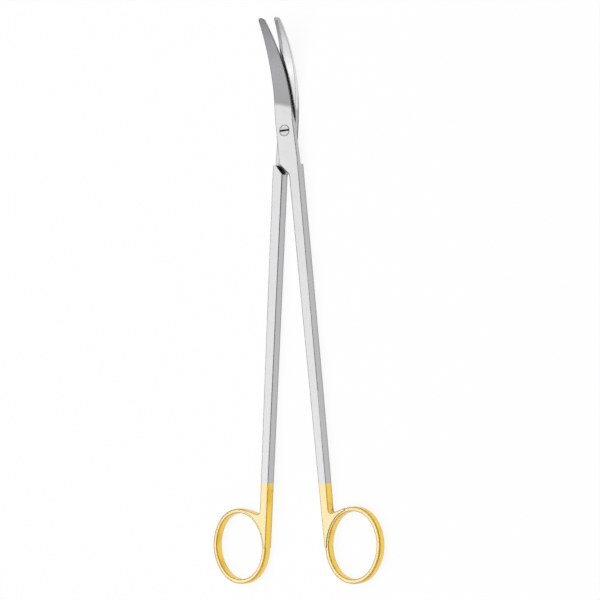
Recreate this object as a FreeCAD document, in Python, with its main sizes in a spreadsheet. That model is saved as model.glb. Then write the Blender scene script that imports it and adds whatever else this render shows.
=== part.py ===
import FreeCAD, Part
import math
import os
import re
import Sketcher

# Curved parametrium scissors, lying on their flat underside with the tips curving up.
# X is to the right, Y runs towards the tips, Z is up, the pivot axis is at X = Y = 0.
# Each half is drawn closed and then turned about the pivot by half of the opening angle.

doc = FreeCAD.newDocument("ParametriumScissors")
sheet = doc.addObject("Spreadsheet::Sheet", "Sizes")

driving = [
    # whole instrument
    ("openAngle", 9.2, "angle between the halves as they lie"),
    ("boxThickness", 4.8, "thickness over both halves at the joint"),
    ("faceGap", 0.1, "play between the two sliding faces"),
    ("tipReach", 44.7, "pivot axis to the end of a blade"),
    # blade outline, measured sideways from the middle of the closed instrument
    ("backWidth", 3.75, "middle to the back of a blade at the joint"),
    ("edgeWidth", 4.2, "middle to the cutting edge at the joint"),
    ("bladeStart", 4.0, "pivot axis to where the outline starts to taper"),
    ("bellyWidth", 3.1, "middle to the back where it starts to round towards the tip"),
    ("bellyReach", 22.0, "pivot axis to that place"),
    ("tipBack", 0.95, "middle to the back where the rounded tip starts"),
    ("tipEdge", 1.65, "middle to the cutting edge where the rounded tip starts"),
    ("tipRound", 0.9, "length of the rounded tip"),
    ("backBulge", 0.3, "height of the arc of the back over its chord"),
    ("edgeBulge", 0.15, "height of the arc of the cutting edge over its chord"),
    # blade curve, seen from the side
    ("curveStart", 12.0, "pivot axis to where the sliding faces start to curve up"),
    ("curveRadius", 50.8, "radius of the curved sliding faces"),
    ("curveLift", 0.6, "how far the faces have risen where the curve starts"),
    ("setStart", 6.0, "pivot axis to where the faces start to part"),
    ("setDepth", 0.2, "how far each face is hollowed where the curve starts"),
    ("topGrindReach", 13.0, "pivot axis to the lowest line of the ground upper blade"),
    ("topGrindDepth", 0.35, "depth of the ground upper blade along that line"),
    ("topGrindTilt", 4.0, "sideways slope of that ground face, thin at the cutting edge"),
    ("upperTipThickness", 1.0, "thickness of the upper blade at its tip"),
    ("underGrindReach", 4.5, "pivot axis to the lowest line of the ground lower blade"),
    ("underGrindDrop", 0.2, "how far that line lies under the underside"),
    ("underGrindTilt", 2.5, "sideways slope of that ground face, thin at the cutting edge"),
    ("lowerTipThickness", 1.2, "thickness of the lower blade at its tip"),
    # hard edge let into each blade
    ("stripWidth", 1.3, "width of the hard edge"),
    ("stripDepth", 0.45, "thickness of the hard edge"),
    # box joint and shanks
    ("jointWidth", 4.75, "middle to the outer side where a half is widest"),
    ("jointReach", 12.0, "pivot axis back to that place"),
    ("crotchReach", 17.9, "pivot axis to the inner end of the shoulder"),
    ("shoulderSlope", 49.0, "slope of the shoulder across the instrument"),
    ("squareWidth", 0.8, "width of the shoulder's square outer end"),
    ("stopGap", 0.4, "gap at the shoulder when closed"),
    ("shankGap", 0.3, "gap between the shanks when closed"),
    ("shankEndWidth", 3.4, "width of a shank at its ring"),
    ("shankBulge", 0.15, "height of the slight outward bow of a shank's outer side"),
    ("edgeRound", 0.45, "rounding of the long edges"),
    # finger rings
    ("ringHalfWidth", 12.5, "half of the outer width of a ring"),
    ("ringHalfLength", 15.2, "half of the outer length of a ring"),
    ("ringEndRadius", 11.1, "outer radius of a ring's two ends"),
    ("ringReach", 168.8, "pivot axis to the middle of a ring"),
    ("ringLean", 8.0, "lean of a ring, its far end towards the other ring"),
    ("ringWall", 1.8, "wall of a ring, measured in its plane"),
    ("ringThickness", 4.1, "thickness of a ring"),
    ("ringRound", 0.8, "rounding of a ring's outer edges"),
    ("ringBevel", 0.35, "bevel of a ring's inner edges"),
    ("webCorner", 1.3, "radius of the hollow corner between shank and ring"),
    ("webSlope", 14.0, "slope of the web from the ring down to that corner"),
    # pivot screw
    ("headRadius", 2.2, "radius of the screw head"),
    ("headDepth", 1.3, "depth of the head in the upper half"),
    ("headBevel", 0.12, "bevel of the head and of its seat"),
    ("pinRadius", 1.5, "radius of the smooth shank of the screw"),
    ("threadRadius", 1.25, "radius of the screwed end"),
    ("screwPlay", 0.04, "running clearance of the screw in the upper half"),
    ("slotWidth", 0.75, "width of the driver slot"),
    ("slotDepth", 0.7, "depth of the driver slot"),
    ("slotTurn", 2.0, "turn of the driver slot"),
]
for row, (name, value, note) in enumerate(driving, start=1):
    sheet.set("A%d" % row, note)
    sheet.set("B%d" % row, str(value))
    sheet.setAlias("B%d" % row, name)
doc.recompute()
size = {name: sheet.get(name) for name, value, note in driving}
words = re.compile(r"[A-Za-z]+")


def bound(text):
    """Expression text in which each size is looked up in the sheet."""
    return words.sub(lambda found: "Sizes." + found[0] if found[0] in size else found[0], text)


def number(text):
    return float(sheet.evalExpression(bound(text)))


def tie(thing, prop, text):
    thing.setExpression(prop, bound(text))


# Sketch tools: corners are given as sizes, and a side may be an arc of a given height

def plane(body, role):
    return [feature for feature in body.Origin.OriginFeatures if feature.Role == role][0]


def sketchOn(body, name, role, lift="0", tilt=None):
    sketch = body.newObject("Sketcher::SketchObject", name)
    sketch.AttachmentSupport = [(plane(body, role), "")]
    sketch.MapMode = "FlatFace"
    if tilt:
        turn = FreeCAD.Rotation(FreeCAD.Vector(1, 0, 0), number(tilt))
        sketch.AttachmentOffset = FreeCAD.Placement(FreeCAD.Vector(), turn)
        tie(sketch, "AttachmentOffset.Rotation.Angle", tilt)
    tie(sketch, "AttachmentOffset.Base.z", lift)
    return sketch


def hold(sketch, constraint, text):
    index = sketch.addConstraint(constraint)
    tie(sketch, "Constraints[%d]" % index, text)


def arcAbout(start, end, rise):
    """The arc from start to end that rises to the left of the way from one to the other."""
    chord = math.hypot(end[0] - start[0], end[1] - start[1])
    radius = chord * chord / (8 * abs(rise)) + abs(rise) / 2
    reach = math.copysign(radius - abs(rise), rise)
    centreX = (start[0] + end[0]) / 2 + reach * (end[1] - start[1]) / chord
    centreY = (start[1] + end[1]) / 2 - reach * (end[0] - start[0]) / chord
    first = math.atan2(start[1] - centreY, start[0] - centreX)
    last = math.atan2(end[1] - centreY, end[0] - centreX)
    if rise > 0:
        first, last = last, first
    circle = Part.Circle(FreeCAD.Vector(centreX, centreY, 0), FreeCAD.Vector(0, 0, 1), radius)
    return Part.ArcOfCircle(circle, first, last), radius


def outline(sketch, corners, mirrored=False):
    """Closed outline from (x, y) corners, where a third text is the height of an arc side."""
    if mirrored:
        corners = [["-(%s)" % text for text in corner] for corner in corners]
        corners = [[corner[0], "-" + corner[1]] + corner[2:] for corner in corners]
    points = [(number(corner[0]), number(corner[1])) for corner in corners]
    sides = []
    for index, corner in enumerate(corners):
        start = points[index]
        end = points[(index + 1) % len(corners)]
        if len(corner) == 2:
            line = Part.LineSegment(FreeCAD.Vector(*start, 0), FreeCAD.Vector(*end, 0))
            sides.append((sketch.addGeometry(line), 1, 2))
            continue
        rise = number(corner[2])
        arc, radius = arcAbout(start, end, rise)
        sides.append((sketch.addGeometry(arc), 2, 1) if rise > 0 else (sketch.addGeometry(arc), 1, 2))
    for index, corner in enumerate(corners):
        side, near, far = sides[index]
        before = sides[index - 1]
        following = corners[(index + 1) % len(corners)]
        sketch.addConstraint(Sketcher.Constraint("Coincident", before[0], before[2], side, near))
        hold(sketch, Sketcher.Constraint("DistanceX", -1, 1, side, near, points[index][0]), corner[0])
        hold(sketch, Sketcher.Constraint("DistanceY", -1, 1, side, near, points[index][1]), corner[1])
        if len(corner) == 3:
            across = "((%s) - (%s))^2" % (following[0], corner[0])
            along = "((%s) - (%s))^2" % (following[1], corner[1])
            radius = "(%s + %s)/(8*abs(%s)) + abs(%s)/2" % (across, along, corner[2], corner[2])
            hold(sketch, Sketcher.Constraint("Radius", side, number(radius)), radius)
    return sketch


def disc(sketch, radius):
    circle = Part.Circle(FreeCAD.Vector(), FreeCAD.Vector(0, 0, 1), number(radius))
    index = sketch.addGeometry(circle)
    sketch.addConstraint(Sketcher.Constraint("Coincident", index, 3, -1, 1))
    hold(sketch, Sketcher.Constraint("Radius", index, number(radius)), radius)
    return sketch


def pad(body, name, sketch, length):
    feature = body.newObject("PartDesign::Pad", name)
    feature.Profile = sketch
    tie(feature, "Length", length)
    doc.recompute()
    return feature


def cut(body, kind, name, sketch, length=None):
    """A pocket to a length, a pocket right through both ways, or a groove about the upright axis."""
    before = body.Shape.Volume
    feature = body.newObject("PartDesign::" + kind, name)
    feature.Profile = sketch
    if kind == "Groove":
        feature.ReferenceAxis = (sketch, ["V_Axis"])
        feature.Angle = 360
    elif length:
        tie(feature, "Length", length)
    else:
        feature.Type = "ThroughAll"
        feature.Midplane = True
    doc.recompute()
    if body.Shape.Volume >= before:
        raise RuntimeError(name + " removes nothing")
    return feature


# Places worked out from the sizes

underFace = "boxThickness/2 - faceGap/2"
overFace = "boxThickness/2 + faceGap/2"
innerSide = "shankGap/2"
outerSide = "(shankGap/2 + shankEndWidth)"
tipStart = "tipReach - tipRound"
squareStart = "(edgeWidth - squareWidth)"
stopX = "(stopGap*sin(shoulderSlope) - shankGap/2)"
stopY = "(stopGap*cos(shoulderSlope) - crotchReach)"


def lapEdge(x):
    """The sloping end of a half's thin part, a gap away from the other half's shoulder."""
    return "%s - (%s - %s)*tan(shoulderSlope)" % (stopY, x, stopX)


def shoulder(x):
    """The sloping shoulder where a half becomes full thickness."""
    return "(%s - shankGap/2)*tan(shoulderSlope) - crotchReach" % x


# A ring is an oval of four arcs about its own middle: two side arcs and two end arcs

sideSquares = "(ringHalfLength^2 + ringHalfWidth^2 - 2*ringHalfLength*ringEndRadius)"
sideRadius = "(%s/(2*(ringHalfWidth - ringEndRadius)))" % sideSquares
sideReach = "(%s - ringHalfWidth)" % sideRadius
sideShare = "(%s/(%s - ringEndRadius))" % (sideReach, sideRadius)
endReach = "(ringHalfLength - ringEndRadius)"
endShare = "(%s/(%s - ringEndRadius))" % (endReach, sideRadius)
ringCentre = "(shankGap/2 + %s - %s*cos(ringLean))" % (sideRadius, sideReach)


def oval(inset):
    """Corners of the ring's oval, moved in from its outer line."""
    x = "((ringEndRadius - %s)*%s)" % (inset, sideShare)
    y = "(%s + (ringEndRadius - %s)*%s)" % (endReach, inset, endShare)
    sideRise = "(%s - ringHalfWidth + %s)" % (x, inset)
    endRise = "(%s - ringHalfLength + %s)" % (y, inset)
    return [[x, "-" + y, sideRise], [x, y, endRise], ["-" + x, y, sideRise], ["-" + x, "-" + y, endRise]]


def ovalSketch(body, name, inset, mirrored, lift="0"):
    """The ring's oval at its place, leaning with its far end towards the other ring."""
    sketch = sketchOn(body, name, "XY_Plane", lift=lift)
    outline(sketch, oval(inset))
    turn = FreeCAD.Rotation(FreeCAD.Vector(0, 0, 1), 1)
    sketch.AttachmentOffset = FreeCAD.Placement(sketch.AttachmentOffset.Base, turn)
    tie(sketch, "AttachmentOffset.Base.x", "-" + ringCentre if mirrored else ringCentre)
    tie(sketch, "AttachmentOffset.Base.y", "-ringReach")
    tie(sketch, "AttachmentOffset.Rotation.Angle", "ringLean" if mirrored else "-ringLean")
    return sketch


# The web leaves the ring's end arc in a straight line, down to the hollow corner at the shank

lineX = "(%s + %s*sin(ringLean) - ringEndRadius*sin(webSlope))" % (ringCentre, endReach)
lineY = "(ringEndRadius*cos(webSlope) + %s*cos(ringLean) - ringReach)" % endReach
cornerX = "(%s + webCorner)" % outerSide
cornerY = "(%s + (webCorner + sin(webSlope)*(%s - %s))/cos(webSlope))" % (lineY, cornerX, lineX)
webEndX = "(%s + webCorner*sin(webSlope))" % cornerX
webEndY = "(%s - webCorner*cos(webSlope))" % cornerY
webChord = "((%s - %s)^2 + (%s - %s)^2)" % (webEndX, outerSide, webEndY, cornerY)
webBulge = "(sqrt(webCorner^2 - %s/4) - webCorner)" % webChord
webStop = "(ringWall/2 - ringReach - %s*sin(ringLean))" % sideReach

bladeOutline = [
    ["-backWidth", "bladeStart"],
    ["-bellyWidth", "bellyReach", "backBulge"],
    ["-tipBack", tipStart, "tipRound"],
    ["tipEdge", tipStart, "edgeBulge"],
    ["edgeWidth", "bladeStart"],
]

handleOutline = [
    ["edgeWidth", "bladeStart"],
    ["jointWidth", "-jointReach", "shankBulge"],
    [outerSide, cornerY, webBulge],
    [webEndX, webEndY],
    [lineX, lineY],
    [ringCentre, webStop],
    [innerSide, webStop],
    [innerSide, lapEdge(innerSide)],
    ["-backWidth", lapEdge("-backWidth")],
    ["-backWidth", "bladeStart"],
]


def sagged(radius, start, end):
    """Height of an arc of this radius between two corners, bulging to the right of the way."""
    chord = "((%s) - (%s))^2 + ((%s) - (%s))^2" % (end[0], start[0], end[1], start[1])
    return "sqrt((%s)^2 - (%s)/4) - (%s)" % (radius, chord, radius)


def slidingLevel(side, reach, offset="0"):
    """Height of a sliding face past the start of its curve."""
    flat = "boxThickness/2 + %d*(faceGap/2 + setDepth) + %s + curveLift" % (side, offset)
    return "(%s + curveRadius - sqrt(curveRadius^2 - (%s - curveStart)^2))" % (flat, reach)


def slidingFace(side, offset="0"):
    """Side view of a sliding face, from the pivot to past the tip: flat, parting, then curved.
    side is 1 for the upper half and -1 for the lower one, and offset lifts the whole line."""
    flat = "(boxThickness/2 + %d*faceGap/2 + %s)" % (side, offset)
    last = "(tipReach + tipRound)"
    start = ["curveStart", slidingLevel(side, "curveStart", offset)]
    end = [last, slidingLevel(side, last, offset)]
    return [["0", flat], ["setStart", flat], start + [sagged("curveRadius", start, end)], end]


def groundFace(first, reach, lowest, tipLevel):
    """Side view of a ground blade face, an arc from its lowest place that passes a height at the tip."""
    rise = "(%s - %s)" % (tipLevel, lowest)
    radius = "((tipReach - %s)^2/%s/2 + %s/2)" % (reach, rise, rise)
    last = "(tipReach + tipRound)"
    height = "(%s + %s - sqrt(%s^2 - (%s - %s)^2))"
    start = [first, height % (lowest, radius, radius, first, reach)]
    end = [last, height % (lowest, radius, radius, last, reach)]
    return [start + [sagged(radius, start, end)], end]


def sweptRegion(line, level):
    """A side view line closed by a straight edge at a level."""
    return line + [[line[-1][0], level], [line[0][0], level]]


def edgeNear(shape, place):
    """Name of the edge that passes closest to a place."""
    spot = Part.Vertex(FreeCAD.Vector(*[number(text) for text in place]))
    distances = [edge.distToShape(spot)[0] for edge in shape.Edges]
    return "Edge%d" % (distances.index(min(distances)) + 1)


above = "(boxThickness + curveRadius)"
below = "(-boxThickness)"


def blade(name, mirrored):
    """The curved blade: an upright block cut by its sliding face and its ground face."""
    body = doc.addObject("PartDesign::Body", name)
    sketch = outline(sketchOn(body, "BladeOutline", "XY_Plane"), bladeOutline, mirrored)
    pad(body, "BladeBlock", sketch, "2*tipReach/3")
    faces = sketchOn(body, "SlidingLine", "YZ_Plane")
    if mirrored:
        outline(faces, sweptRegion(slidingFace(-1), above))
    else:
        outline(faces, sweptRegion(slidingFace(1), below))
    cut(body, "Groove", "SlidingFace", faces)
    tilt = "underGrindTilt" if mirrored else "topGrindTilt"
    ground = sketchOn(body, "GroundLine", "YZ_Plane", tilt=tilt)
    if mirrored:
        under = "(%s - lowerTipThickness)" % slidingLevel(-1, "tipReach")
        line = groundFace("underGrindReach", "underGrindReach", "(-underGrindDrop)", under)
        outline(ground, sweptRegion(line, below))
    else:
        top = "(%s + upperTipThickness)" % slidingLevel(1, "tipReach")
        line = groundFace("bladeStart", "topGrindReach", "(boxThickness - topGrindDepth)", top)
        outline(ground, sweptRegion(line, above))
    cut(body, "Pocket", "GroundFace", ground)
    if not mirrored:
        flat = [["0", "boxThickness"], ["topGrindReach", "boxThickness"], ["topGrindReach", above], ["0", above]]
        cut(body, "Pocket", "JointFlat", outline(sketchOn(body, "JointTop", "YZ_Plane"), flat))
    return body


def breakEdges(body, kind, name, places, depth, mirrored):
    """Rounds or bevels the edges that pass the given places, with the edges that run on from them."""
    if mirrored:
        places = [["-(%s)" % x, y, z] for x, y, z in places]
    solid = body.Group[-1]
    feature = body.newObject("PartDesign::" + kind, name)
    feature.Base = (solid, sorted({edgeNear(solid.Shape, place) for place in places}))
    tie(feature, "Radius" if kind == "Fillet" else "Size", depth)
    doc.recompute()


def handle(name, mirrored):
    """Joint, shank and web in one outline, rounded along the edges and thinned to a lap."""
    body = doc.addObject("PartDesign::Body", name)
    sketch = outline(sketchOn(body, "HandleOutline", "XY_Plane"), handleOutline, mirrored)
    pad(body, "HandleBlock", sketch, "boxThickness")
    breakEdges(body, "Fillet", "RoundedEdges", shankEdges, "edgeRound", mirrored)
    cut(body, "Pocket", "RingRoom", ovalSketch(body, "RingRoomOutline", "ringWall/2", mirrored))
    wide = "(3*backWidth)"
    end = "2*bladeStart"
    room = [["-" + wide, shoulder("-" + wide)], [squareStart, shoulder(squareStart)],
            [wide, shoulder(squareStart)], [wide, end], ["-" + wide, end]]
    if mirrored:
        recess = outline(sketchOn(body, "LapRoom", "XY_Plane", lift="boxThickness"), room, True)
        cut(body, "Pocket", "Lap", recess, "boxThickness/2 + faceGap/2")
    else:
        recess = outline(sketchOn(body, "LapRoom", "XY_Plane", lift=overFace), room)
        cut(body, "Pocket", "Lap", recess, overFace)
    return body


shankEdges = [[x, "-ringReach/2", z] for x in (innerSide, outerSide) for z in ("0", "boxThickness")]


def ring(name, mirrored):
    """The finger ring, an oval band with a rounded section."""
    body = doc.addObject("PartDesign::Body", name)
    low = "(boxThickness - ringThickness)/2"
    outer = ovalSketch(body, "OuterOval", "0", mirrored, low)
    pad(body, "RingBlock", outer, "ringThickness")
    inner = ovalSketch(body, "InnerOval", "ringWall", mirrored)
    cut(body, "Pocket", "FingerOpening", inner)
    levels = (low, "(boxThickness + ringThickness)/2")
    end = "ringReach - ringHalfLength"
    outerEdges = [[ringCentre, "-" + end, level] for level in levels]
    innerEdges = [[ringCentre, "ringWall - " + end, level] for level in levels]
    breakEdges(body, "Fillet", "RoundedOutside", outerEdges, "ringRound", mirrored)
    breakEdges(body, "Chamfer", "BevelledInside", innerEdges, "ringBevel", mirrored)
    return body


def stripForm(name, mirrored):
    """The room of a hard edge: outside a line along the cutting edge and close to the sliding face."""
    body = doc.addObject("PartDesign::Body", name)
    plan = [
        ["edgeWidth - stripWidth", "bladeStart"],
        ["2*edgeWidth", "bladeStart + edgeWidth"],
        ["2*edgeWidth", tipStart + " - edgeWidth"],
        ["tipEdge - stripWidth", tipStart, "edgeBulge"],
    ]
    outline(sketchOn(body, "StripOutline", "XY_Plane"), plan, mirrored)
    pad(body, "StripBlock", body.Group[-1], "2*tipReach/3")
    depth = sketchOn(body, "StripLine", "YZ_Plane")
    if mirrored:
        outline(depth, sweptRegion(slidingFace(-1, "(-stripDepth)"), below))
    else:
        outline(depth, sweptRegion(slidingFace(1, "stripDepth"), above))
    cut(body, "Pocket", "StripFloor", depth)
    return body


def join(kind, name, base, tool):
    thing = doc.addObject("Part::" + kind, name)
    thing.Base = base
    thing.Tool = tool
    thing.Refine = True
    return thing


def turned(thing, label, angle):
    """Gives a finished piece its name and turns it about the pivot."""
    thing.Label = label
    thing.Placement = FreeCAD.Placement(FreeCAD.Vector(), FreeCAD.Rotation(FreeCAD.Vector(0, 0, 1), 1))
    tie(thing, "Placement.Rotation.Angle", angle)
    return thing


def finishHalf(name, mirrored, joint, label, angle):
    """Adds blade and ring to a handle and parts the hard edge from the steel that holds it."""
    bar = join("Fuse", name + "Bar", joint, blade(name + "Blade", mirrored))
    whole = join("Fuse", name + "Whole", bar, ring(name + "Ring", mirrored))
    form = stripForm(name + "StripForm", mirrored)
    steel = join("Cut", name + "Steel", whole, form)
    strip = join("Common", name + "Strip", whole, form)
    return [turned(steel, label + "_half", angle), turned(strip, label + "_carbide_edge", angle)]


# Upper half: left blade, right shank and ring, with the seat of the screw head

upper = handle("UpperHandle", False)
cut(upper, "Pocket", "HeadSeat",
    disc(sketchOn(upper, "HeadSeatCircle", "XY_Plane", lift="boxThickness"), "headRadius + screwPlay"),
    "headDepth")
cut(upper, "Pocket", "PinBore", disc(sketchOn(upper, "PinBoreCircle", "XY_Plane"), "pinRadius + screwPlay"))

# Lower half: right blade, left shank and ring, with the thread of the screw

lower = handle("LowerHandle", True)
cut(lower, "Pocket", "ThreadBore", disc(sketchOn(lower, "ThreadBoreCircle", "XY_Plane"), "threadRadius"))

# Pivot screw: slotted head, smooth shank in the upper half, screwed end flush with the underside

screw = doc.addObject("PartDesign::Body", "Screw")
headBase = "boxThickness - headDepth + screwPlay"
profile = [
    ["0", "0"],
    ["threadRadius", "0"],
    ["threadRadius", underFace],
    ["pinRadius", underFace],
    ["pinRadius", headBase],
    ["headRadius", headBase],
    ["headRadius", "boxThickness - headBevel"],
    ["headRadius - headBevel", "boxThickness"],
    ["0", "boxThickness"],
]
turning = outline(sketchOn(screw, "ScrewProfile", "XZ_Plane"), profile)
revolved = screw.newObject("PartDesign::Revolution", "ScrewTurned")
revolved.Profile = turning
revolved.ReferenceAxis = (turning, ["V_Axis"])
revolved.Angle = 360
doc.recompute()
slotLine = sketchOn(screw, "SlotOutline", "XY_Plane", lift="boxThickness")
outline(slotLine, [
    ["-2*headRadius", "-slotWidth/2"],
    ["2*headRadius", "-slotWidth/2"],
    ["2*headRadius", "slotWidth/2"],
    ["-2*headRadius", "slotWidth/2"],
])
cut(screw, "Pocket", "Slot", slotLine, "slotDepth")

pieces = finishHalf("Upper", False, upper, "upper", "openAngle/2")
pieces += finishHalf("Lower", True, lower, "lower", "-openAngle/2")
pieces.append(turned(screw, "pivot_screw", "slotTurn"))
doc.recompute()

for thing in doc.Objects:
    if "Invalid" in thing.State or "Error" in thing.State:
        raise RuntimeError("%s is not sound: %s" % (thing.Name, thing.State))
for piece in pieces:
    if piece.Shape.isNull() or not piece.Shape.isValid() or len(piece.Shape.Solids) != 1:
        raise RuntimeError("%s is not one sound solid" % piece.Label)

os.makedirs("parts", exist_ok=True)
for piece in pieces:
    piece.Shape.exportStep("parts/%s.step" % piece.Label)
    print(piece.Label, round(piece.Shape.Volume, 2), "mm3")
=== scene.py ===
import bmesh
import bpy
import math
from mathutils import Matrix, Vector

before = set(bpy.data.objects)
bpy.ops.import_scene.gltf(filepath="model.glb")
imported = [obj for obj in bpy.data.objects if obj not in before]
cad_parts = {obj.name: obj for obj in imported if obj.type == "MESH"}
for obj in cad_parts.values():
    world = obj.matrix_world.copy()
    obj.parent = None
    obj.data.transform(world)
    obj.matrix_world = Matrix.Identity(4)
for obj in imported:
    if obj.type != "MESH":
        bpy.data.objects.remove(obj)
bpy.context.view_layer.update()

print("frame loaded")

# Photograph's camera, found from the outline: it looks down on the scissors from their right
camera = {
    "distance": 0.9585,          # metres, along the view, from the camera to the pivot
    "tilt": 30.43,               # degrees between the view and straight down
    "side": -8.49,               # degrees, how far the camera stands back from the right side
    "roll": 1.415,               # degrees
    "focal": 2359.5,             # pixels of a 600 pixel wide picture
    "pivotAt": (290.29, 131.74), # where the pivot's foot lies in that picture
    "picture": 600,
    "sensor": 36.0,              # millimetres
    "clip": (0.01, 20),          # metres
}


def placeCamera(settings):
    tilt = math.radians(settings["tilt"])
    side = math.radians(settings["side"])
    roll = math.radians(settings["roll"])
    level = math.sin(tilt)
    forward = -Vector((level * math.cos(side), level * math.sin(side), math.cos(tilt)))
    up = Vector((0, 1, 0))
    up = (up - up.dot(forward) * forward).normalized()
    right = forward.cross(up)
    rolledRight = right * math.cos(roll) - up * math.sin(roll)
    rolledUp = right * math.sin(roll) + up * math.cos(roll)
    metresPerPixel = settings["distance"] / settings["focal"]
    middle = settings["picture"] / 2
    across = (settings["pivotAt"][0] - middle) * metresPerPixel
    upwards = (middle - settings["pivotAt"][1]) * metresPerPixel
    place = -(across * rolledRight + upwards * rolledUp) - forward * settings["distance"]
    data = bpy.data.cameras.new("photoCamera")
    data.sensor_width = settings["sensor"]
    data.lens = settings["focal"] * settings["sensor"] / settings["picture"]
    data.clip_start, data.clip_end = settings["clip"]
    item = bpy.data.objects.new("photoCamera", data)
    turn = Matrix((rolledRight, rolledUp, -forward)).transposed().to_4x4()
    item.matrix_world = Matrix.Translation(place) @ turn
    bpy.context.scene.collection.objects.link(item)
    bpy.context.scene.camera = item


placeCamera(camera)
print("camera placed")

# Small helpers for node trees


def addNode(tree, kind, place, **values):
    node = tree.nodes.new(kind)
    node.location = place
    for name, value in values.items():
        if name in node.inputs:
            node.inputs[name].default_value = value
        else:
            setattr(node, name, value)
    return node


def join(tree, start, end):
    tree.links.new(start, end)


def spread(tree, place, source, start, end, low=0.0, high=1.0):
    node = addNode(tree, "ShaderNodeMapRange", place)
    node.inputs["From Min"].default_value = start
    node.inputs["From Max"].default_value = end
    node.inputs["To Min"].default_value = low
    node.inputs["To Max"].default_value = high
    join(tree, source, node.inputs["Value"])
    return node.outputs["Result"]


def multiply(tree, place, first, second):
    node = addNode(tree, "ShaderNodeMath", place, operation="MULTIPLY")
    join(tree, first, node.inputs[0])
    join(tree, second, node.inputs[1])
    return node.outputs["Value"]


def mixColour(tree, place, factor, first, second):
    node = addNode(tree, "ShaderNodeMix", place, data_type="RGBA")
    join(tree, factor, node.inputs["Factor"])
    for name, value in (("A", first), ("B", second)):
        if isinstance(value, bpy.types.NodeSocket):
            join(tree, value, node.inputs[name])
        else:
            node.inputs[name].default_value = value
    return node.outputs["Result"]


def toneRamp(tree, place, source, tones):
    node = addNode(tree, "ShaderNodeValToRGB", place)
    first, last = node.color_ramp.elements
    first.position, first.color = tones[0]
    last.position, last.color = tones[-1]
    for position, colour in tones[1:-1]:
        node.color_ramp.elements.new(position).color = colour
    join(tree, source, node.inputs["Fac"])
    return node.outputs["Color"]


def newMaterial(name):
    material = bpy.data.materials.new(name)
    material.use_nodes = True
    tree = material.node_tree
    tree.nodes.clear()
    return material, tree


def newMetal(name):
    material, tree = newMaterial(name)
    output = addNode(tree, "ShaderNodeOutputMaterial", (900, 0))
    shader = addNode(tree, "ShaderNodeBsdfPrincipled", (600, 0), Metallic=1.0)
    join(tree, shader.outputs["BSDF"], output.inputs["Surface"])
    coords = addNode(tree, "ShaderNodeTexCoord", (-1400, 0))
    return material, tree, shader, coords.outputs["Object"]


def newGroup(name, inputs, outputs):
    group = bpy.data.node_groups.new(name, "ShaderNodeTree")
    for label, kind, value in inputs:
        socket = group.interface.new_socket(label, in_out="INPUT", socket_type=kind)
        if value is not None:
            socket.default_value = value
    for label in outputs:
        group.interface.new_socket(label, in_out="OUTPUT", socket_type="NodeSocketFloat")
    entry = addNode(group, "NodeGroupInput", (-900, 0))
    leave = addNode(group, "NodeGroupOutput", (500, 0))
    return group, entry.outputs, leave.inputs


# Ground grain: fine lines along the piece, the same whichever way the light falls
grainLines = {
    "perMetre": 6000,
    "stretch": (1.0, 0.02, 1.0),
    "detail": 4.0,
    "roughness": 0.6,
    "broadPerMetre": 140.0,
    "broadDetail": 3.0,
    "broadRoughness": 0.5,
}


def makeGrain():
    place = ("Place", "NodeSocketVector", None)
    density = ("Lines per metre", "NodeSocketFloat", grainLines["perMetre"])
    group, entry, leave = newGroup("groundGrain", [place, density], ["Fine", "Broad"])
    stretch = addNode(group, "ShaderNodeMapping", (-700, 100))
    stretch.inputs["Scale"].default_value = grainLines["stretch"]
    join(group, entry["Place"], stretch.inputs["Vector"])
    fine = addNode(group, "ShaderNodeTexNoise", (-400, 150), Detail=grainLines["detail"],
                   Roughness=grainLines["roughness"])
    join(group, stretch.outputs["Vector"], fine.inputs["Vector"])
    join(group, entry["Lines per metre"], fine.inputs["Scale"])
    broad = addNode(group, "ShaderNodeTexNoise", (-400, -150), Scale=grainLines["broadPerMetre"],
                    Detail=grainLines["broadDetail"], Roughness=grainLines["broadRoughness"])
    join(group, entry["Place"], broad.inputs["Vector"])
    join(group, fine.outputs["Fac"], leave["Fine"])
    join(group, broad.outputs["Fac"], leave["Broad"])
    return group


# Edge highlight: a painted highlight, bright where a rounded edge turns, from how far the rounded normal
# leaves the flat one
edgeShine = {
    "reach": 0.0003,
    "turned": (0.995, 0.93),     # cosines of the turn where the painted highlight begins and is full
}


def makeEdgeWear():
    reach = ("Reach", "NodeSocketFloat", edgeShine["reach"])
    breakup = ("Breakup", "NodeSocketFloat", None)
    group, entry, leave = newGroup("edgeWear", [reach, breakup], ["Wear"])
    soft = addNode(group, "ShaderNodeBevel", (-650, 100), samples=4)
    join(group, entry["Reach"], soft.inputs["Radius"])
    shape = addNode(group, "ShaderNodeNewGeometry", (-650, -100))
    same = addNode(group, "ShaderNodeVectorMath", (-400, 0), operation="DOT_PRODUCT")
    join(group, soft.outputs["Normal"], same.inputs[0])
    join(group, shape.outputs["Normal"], same.inputs[1])
    turned = spread(group, (-180, 0), same.outputs["Value"], *edgeShine["turned"])
    join(group, multiply(group, (60, 0), turned, entry["Breakup"]), leave["Wear"])
    return group


# Recess shade: darkens what lies deep between the pieces, where little light gets in
recess = {
    "reach": 0.003,
    "openness": (0.74, 0.46),    # open share of the sky where the shade begins and is full
}


def makeRecessShade():
    reach = ("Reach", "NodeSocketFloat", recess["reach"])
    group, entry, leave = newGroup("recessShade", [reach], ["Shade"])
    sky = addNode(group, "ShaderNodeAmbientOcclusion", (-350, 0), samples=8)
    join(group, entry["Reach"], sky.inputs["Distance"])
    join(group, spread(group, (0, 0), sky.outputs["AO"], *recess["openness"]), leave["Shade"])
    return group


groundGrain = makeGrain()
edgeWear = makeEdgeWear()
recessShade = makeRecessShade()
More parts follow.
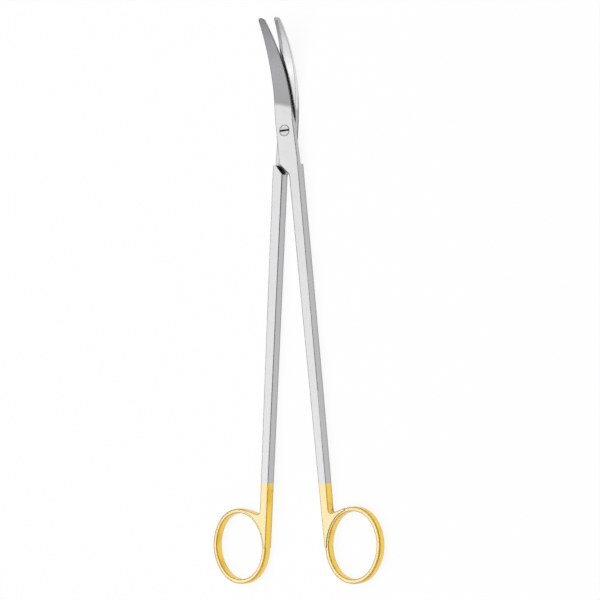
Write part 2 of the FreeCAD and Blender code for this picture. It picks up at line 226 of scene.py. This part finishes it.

# Satin steel, ground lengthways, with painted light: the tops lighter and the sides darker by how they
# face
steel = {
    "top": (0.80, 0.80, 0.81, 1),
    "side": (0.52, 0.52, 0.53, 1),           # painted shade: the sides darker than the tops by how they face
    "blade": (0.41, 0.41, 0.42, 1),          # the upper blade's ground outer face, darker partly from its grinding and partly as painted shade where it tilts from the light
    "recessShadeTone": (0.015, 0.015, 0.015, 1),        # painted shade, the colour down in the joint where the recess shade is full
    # painted highlight colour for the rounded edges
    "paintedShine": (0.93, 0.93, 0.93, 1),
    "sideToTop": (0.35, 0.60),               # painted light and shade, by the upward part of the normal
    "bladeEdge": (0.0096, 0.0112),           # metres ahead of the pivot where the ground face and its painted shade start
    "bladeLean": 0.35,                       # how far that line leans
    "linesPerMetre": 5000,
    "lineTones": (0.94, 1.04),
    "roughness": (0.20, 0.32),
    "reliefStrength": 0.25,
    "reliefDepth": 0.00002,
    "jointEnd": (-0.0135, -0.0125),          # from here forward the edges are rounder
    "edgeRadius": (0.0004, 0.0005),          # behind and ahead of that
}

# Gold plating over the steel: it starts square across each shank
plating = {
    # Painted light on the gold: lit tops, shaded sides and darker rounded edges, by how they face
    "top": (1.0, 0.83, 0.48, 1),
    "ridgeShade": (0.80, 0.47, 0.02, 1),          # painted shade on the rounded edges, a deeper yellow
    "side": (0.96, 0.65, 0.09, 1),
    "toneStops": (0.10, 0.45, 0.80, 0.97),   # shaded side, shaded ridge, shaded ridge, lit top: painted light by the upward part of the normal
    "mattStops": (0.12, 0.35, 0.86, 0.97),   # the same for how matt it is
    "ridgeMetal": 0.45,                      # the plating is matt on its rounded edges
    "patchEdge": (0.50, 0.66),
    "patchDepth": 0.65,                      # how far the sides deepen in patches
    "upright": (0.70, 0.30),                 # the patches are on the sides only
    "fade": 0.00015,                         # metres, half the soft edge where the plating starts
    "roughness": 0.30,
}

# Each half lies turned by half the opening of the scissors. platedFrom is metres behind the pivot
halves = {
    "upper_half": {"material": "upperSteel", "turn": 4.6, "platedFrom": 0.1435, "groundAndShadedBlade": True},
    "lower_half": {"material": "lowerSteel", "turn": -4.6, "platedFrom": 0.1427, "groundAndShadedBlade": False},
}


def aheadOfPivot(tree, place, coords, turn, lean):
    angle = math.radians(turn)
    lengthways = Vector((-math.sin(angle), math.cos(angle), 0))
    crossways = Vector((math.cos(angle), math.sin(angle), 0))
    node = addNode(tree, "ShaderNodeVectorMath", place, operation="DOT_PRODUCT")
    node.inputs[1].default_value = lengthways + lean * crossways
    join(tree, coords, node.inputs[0])
    return node.outputs["Value"]


def roundedNormal(tree, ahead):
    radius = spread(tree, (-900, -650), ahead, *steel["jointEnd"], *steel["edgeRadius"])
    soft = addNode(tree, "ShaderNodeBevel", (-650, -650), samples=6)
    join(tree, radius, soft.inputs["Radius"])
    return soft.outputs["Normal"]


def steelColour(tree, coords, half, upward, lines):
    # Painted light and shade: the tops lit, the sides shaded, by the upward part of the rounded normal
    topness = spread(tree, (-450, 550), upward, *steel["sideToTop"])
    bare = mixColour(tree, (-250, 550), topness, steel["side"], steel["top"])
    ahead = aheadOfPivot(tree, (-950, 50), coords, half["turn"], steel["bladeLean"])
    onBlade = spread(tree, (-700, 50), ahead, *steel["bladeEdge"])
    # On the upper blade the ground face is darker: partly its finish, partly painted shade
    bladeTone = steel["blade"] if half["groundAndShadedBlade"] else steel["top"]
    plain = mixColour(tree, (-50, 400), onBlade, bare, bladeTone)
    lineTone = spread(tree, (-50, 150), lines["Fine"], 0, 1, *steel["lineTones"])
    lined = addNode(tree, "ShaderNodeVectorMath", (120, 300), operation="SCALE")
    join(tree, plain, lined.inputs[0])
    join(tree, lineTone, lined.inputs["Scale"])
    # Painted highlight along the rounded edges, broken up by the ground lines
    paintedShine = addNode(tree, "ShaderNodeGroup", (-250, 0), node_tree=edgeWear)
    join(tree, lines["Fine"], paintedShine.inputs["Breakup"])
    return mixColour(tree, (270, 250), paintedShine.outputs["Wear"], lined.outputs["Vector"], steel["paintedShine"])


def goldColour(tree, upward, lines):
    stops = plating["toneStops"]
    tones = [plating["side"], plating["ridgeShade"], plating["ridgeShade"], plating["top"]]
    # Painted light and shade on the gold, by how each part faces
    litAndShadedGold = toneRamp(tree, (-450, -900), upward, list(zip(stops, tones)))
    patches = spread(tree, (-450, -1150), lines["Broad"], *plating["patchEdge"], 0, plating["patchDepth"])
    sides = spread(tree, (-450, -1400), upward, *plating["upright"])
    onSides = multiply(tree, (-250, -1250), patches, sides)
    return mixColour(tree, (-50, -1000), onSides, litAndShadedGold, plating["ridgeShade"])


def platingMetal(tree, upward, plated):
    black, white = (0, 0, 0, 1), (1, 1, 1, 1)
    tones = list(zip(plating["mattStops"], [black, white, white, black]))
    ridges = toneRamp(tree, (-450, -1650), upward, tones)
    matt = multiply(tree, (-50, -1600), ridges, plated)
    return spread(tree, (120, -1500), matt, 0, 1, 1.0, plating["ridgeMetal"])


def forgingMaterial(half):
    material, tree, shader, coords = newMetal(half["material"])
    grain = addNode(tree, "ShaderNodeGroup", (-950, -250), node_tree=groundGrain)
    grain.inputs["Lines per metre"].default_value = steel["linesPerMetre"]
    join(tree, coords, grain.inputs["Place"])
    lines = grain.outputs
    ahead = aheadOfPivot(tree, (-1150, 250), coords, half["turn"], 0)
    edge, fade = -half["platedFrom"], plating["fade"]
    plated = spread(tree, (-700, 300), ahead, edge + fade, edge - fade)
    normal = roundedNormal(tree, ahead)
    split = addNode(tree, "ShaderNodeSeparateXYZ", (-600, -850))
    join(tree, normal, split.inputs["Vector"])
    upward = split.outputs["Z"]

    steelTone = steelColour(tree, coords, half, upward, lines)
    goldTone = goldColour(tree, upward, lines)
    metalColour = mixColour(tree, (350, 400), plated, steelTone, goldTone)
    # Painted shade in the recesses between the pieces
    sunk = addNode(tree, "ShaderNodeGroup", (250, 600), node_tree=recessShade)
    shadedColour = mixColour(tree, (450, 400), sunk.outputs["Shade"], metalColour, steel["recessShadeTone"])
    join(tree, shadedColour, shader.inputs["Base Color"])
    join(tree, platingMetal(tree, upward, plated), shader.inputs["Metallic"])

    rough = addNode(tree, "ShaderNodeMix", (270, -200), data_type="FLOAT")
    rough.inputs["B"].default_value = plating["roughness"]
    join(tree, plated, rough.inputs["Factor"])
    join(tree, spread(tree, (60, -200), lines["Broad"], 0, 1, *steel["roughness"]), rough.inputs["A"])
    join(tree, rough.outputs["Result"], shader.inputs["Roughness"])
    relief = addNode(tree, "ShaderNodeBump", (270, -450), Strength=steel["reliefStrength"],
                     Distance=steel["reliefDepth"])
    join(tree, normal, relief.inputs["Normal"])
    join(tree, lines["Fine"], relief.inputs["Height"])
    join(tree, relief.outputs["Normal"], shader.inputs["Normal"])
    return material


# Carbide edges: fine ground, darker than the steel that holds them
carbide = {
    "colour": (0.42, 0.42, 0.44, 1),
    "paleColour": (0.546, 0.546, 0.572, 1),
    "roughness": (0.25, 0.38),
    "linesPerMetre": 9000,
}


def carbideMaterial():
    material, tree, shader, coords = newMetal("carbide")
    grain = addNode(tree, "ShaderNodeGroup", (-500, 0), node_tree=groundGrain)
    grain.inputs["Lines per metre"].default_value = carbide["linesPerMetre"]
    join(tree, coords, grain.inputs["Place"])
    tone = mixColour(tree, (-200, 100), grain.outputs["Broad"], carbide["colour"], carbide["paleColour"])
    join(tree, tone, shader.inputs["Base Color"])
    rough = spread(tree, (-200, -150), grain.outputs["Fine"], 0, 1, *carbide["roughness"])
    join(tree, rough, shader.inputs["Roughness"])
    return material


# Screw: turned rings on its head, painted shade in the slot
screw = {
    "colour": (0.74, 0.74, 0.75, 1),
    "slotShade": (0.01, 0.01, 0.01, 1),
    "slotTop": 0.0047,           # metres above the floor
    "slotFade": 0.00012,
    "ringsPerMetre": 2600,
    "ringWander": 0.6,
    "roughness": (0.24, 0.38),
}


def screwMaterial():
    material, tree, shader, coords = newMetal("screwSteel")
    turned = addNode(tree, "ShaderNodeTexWave", (-600, 150), wave_type="RINGS", rings_direction="Z",
                     Scale=screw["ringsPerMetre"], Distortion=screw["ringWander"])
    join(tree, coords, turned.inputs["Vector"])
    split = addNode(tree, "ShaderNodeSeparateXYZ", (-600, -150))
    join(tree, coords, split.inputs["Vector"])
    slotBottom = screw["slotTop"] - screw["slotFade"]
    # Painted shade: the slot darkened nearly to black below its top
    inSlot = spread(tree, (-350, -150), split.outputs["Z"], screw["slotTop"], slotBottom)
    colour = mixColour(tree, (0, 0), inSlot, screw["colour"], screw["slotShade"])
    join(tree, colour, shader.inputs["Base Color"])
    rough = spread(tree, (0, -250), turned.outputs["Fac"], 0, 1, *screw["roughness"])
    join(tree, rough, shader.inputs["Roughness"])
    return material


def dress(node, material):
    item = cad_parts[node]
    item.data.materials.clear()
    item.data.materials.append(material)


for node, half in halves.items():
    dress(node, forgingMaterial(half))
hardEdge = carbideMaterial()
dress("upper_carbide_edge", hardEdge)
dress("lower_carbide_edge", hardEdge)
dress("pivot_screw", screwMaterial())
print("materials given")

# Floor: white, part of its own light comes back to the camera so that the shadow stays faint
floor = {
    "size": 3.0,                 # metres from the middle to each edge
    "level": -0.00002,
    "colour": (0.93, 0.93, 0.93, 1),
    "cameraGlow": 0.90,
    "glossyLevel": 0.95,
}


def floorMaterial():
    material, tree = newMaterial("floorWhite")
    output = addNode(tree, "ShaderNodeOutputMaterial", (800, 0))
    matte = addNode(tree, "ShaderNodeBsdfDiffuse", (0, 100), Color=floor["colour"])
    glow = addNode(tree, "ShaderNodeEmission", (0, -100), Strength=1.0)
    mirrored = addNode(tree, "ShaderNodeEmission", (300, -200), Strength=floor["glossyLevel"])
    path = addNode(tree, "ShaderNodeLightPath", (-600, 200))
    seen = spread(tree, (-150, 250), path.outputs["Is Camera Ray"], 0, 1, 0, floor["cameraGlow"])
    pale = addNode(tree, "ShaderNodeMixShader", (300, 50))
    join(tree, seen, pale.inputs["Fac"])
    join(tree, matte.outputs["BSDF"], pale.inputs[1])
    join(tree, glow.outputs["Emission"], pale.inputs[2])
    mix = addNode(tree, "ShaderNodeMixShader", (550, 0))
    join(tree, path.outputs["Is Glossy Ray"], mix.inputs["Fac"])
    join(tree, pale.outputs["Shader"], mix.inputs[1])
    join(tree, mirrored.outputs["Emission"], mix.inputs[2])
    join(tree, mix.outputs["Shader"], output.inputs["Surface"])
    return material


def makeFloor():
    mesh = bpy.data.meshes.new("floor")
    item = bpy.data.objects.new("floor", mesh)
    bpy.context.scene.collection.objects.link(item)
    shape = bmesh.new()
    bmesh.ops.create_grid(shape, x_segments=1, y_segments=1, size=floor["size"])
    bmesh.ops.translate(shape, verts=shape.verts, vec=(0, 0, floor["level"]))
    shape.to_mesh(mesh)
    shape.free()
    mesh.materials.append(floorMaterial())


makeFloor()
print("floor laid")

# Light: one large soft box overhead, a panel in front, a pale wall at each end, a grey room
lamps = [
    {"name": "softBox", "place": (-0.35, 0.10, 1.35), "aim": (0, -0.05, 0), "width": 1.5, "depth": 1.7,
     "radiance": 0.86, "inMetal": True},
    {"name": "frontPanel", "place": (-0.75, -0.75, 1.05), "aim": (0, 0.03, 0), "width": 1.0, "depth": 0.75,
     "radiance": 0.85, "inMetal": True},
    {"name": "frontWall", "place": (0, -1.7, 0.65), "aim": (0, 0, 0.65), "width": 3.6, "depth": 1.2,
     "radiance": 0.42, "inMetal": True},
    {"name": "backWall", "place": (0, 1.7, 0.65), "aim": (0, 0, 0.65), "width": 3.6, "depth": 1.2,
     "radiance": 0.42, "inMetal": True},
    {"name": "floorFill", "place": (0, 0, 1.6), "aim": (0, 0, 0), "width": 2.6, "depth": 2.6,
     "radiance": 1.10, "inMetal": False},
]
room = {
    "grey": (0.14, 0.14, 0.14, 1),
    "background": (1, 1, 1, 1),
}


def makeLamp(settings):
    data = bpy.data.lights.new(settings["name"], "AREA")
    data.shape = "RECTANGLE"
    data.size = settings["width"]
    data.size_y = settings["depth"]
    data.energy = settings["radiance"] * math.pi * settings["width"] * settings["depth"]
    item = bpy.data.objects.new(settings["name"], data)
    item.location = settings["place"]
    look = Vector(settings["aim"]) - Vector(settings["place"])
    item.rotation_euler = look.to_track_quat("-Z", "Y").to_euler()
    item.visible_camera = False
    item.visible_glossy = settings["inMetal"]
    bpy.context.scene.collection.objects.link(item)


def makeRoom():
    world = bpy.data.worlds.new("room")
    bpy.context.scene.world = world
    world.use_nodes = True
    tree = world.node_tree
    tree.nodes.clear()
    output = addNode(tree, "ShaderNodeOutputWorld", (600, 0))
    grey = addNode(tree, "ShaderNodeBackground", (0, 100), Color=room["grey"])
    white = addNode(tree, "ShaderNodeBackground", (0, -100), Color=room["background"])
    path = addNode(tree, "ShaderNodeLightPath", (0, 350))
    mix = addNode(tree, "ShaderNodeMixShader", (300, 0))
    join(tree, path.outputs["Is Camera Ray"], mix.inputs["Fac"])
    join(tree, grey.outputs["Background"], mix.inputs[1])
    join(tree, white.outputs["Background"], mix.inputs[2])
    join(tree, mix.outputs["Shader"], output.inputs["Surface"])


for lamp in lamps:
    makeLamp(lamp)
makeRoom()
bpy.context.scene.view_settings.view_transform = "Standard"
print("lights set")
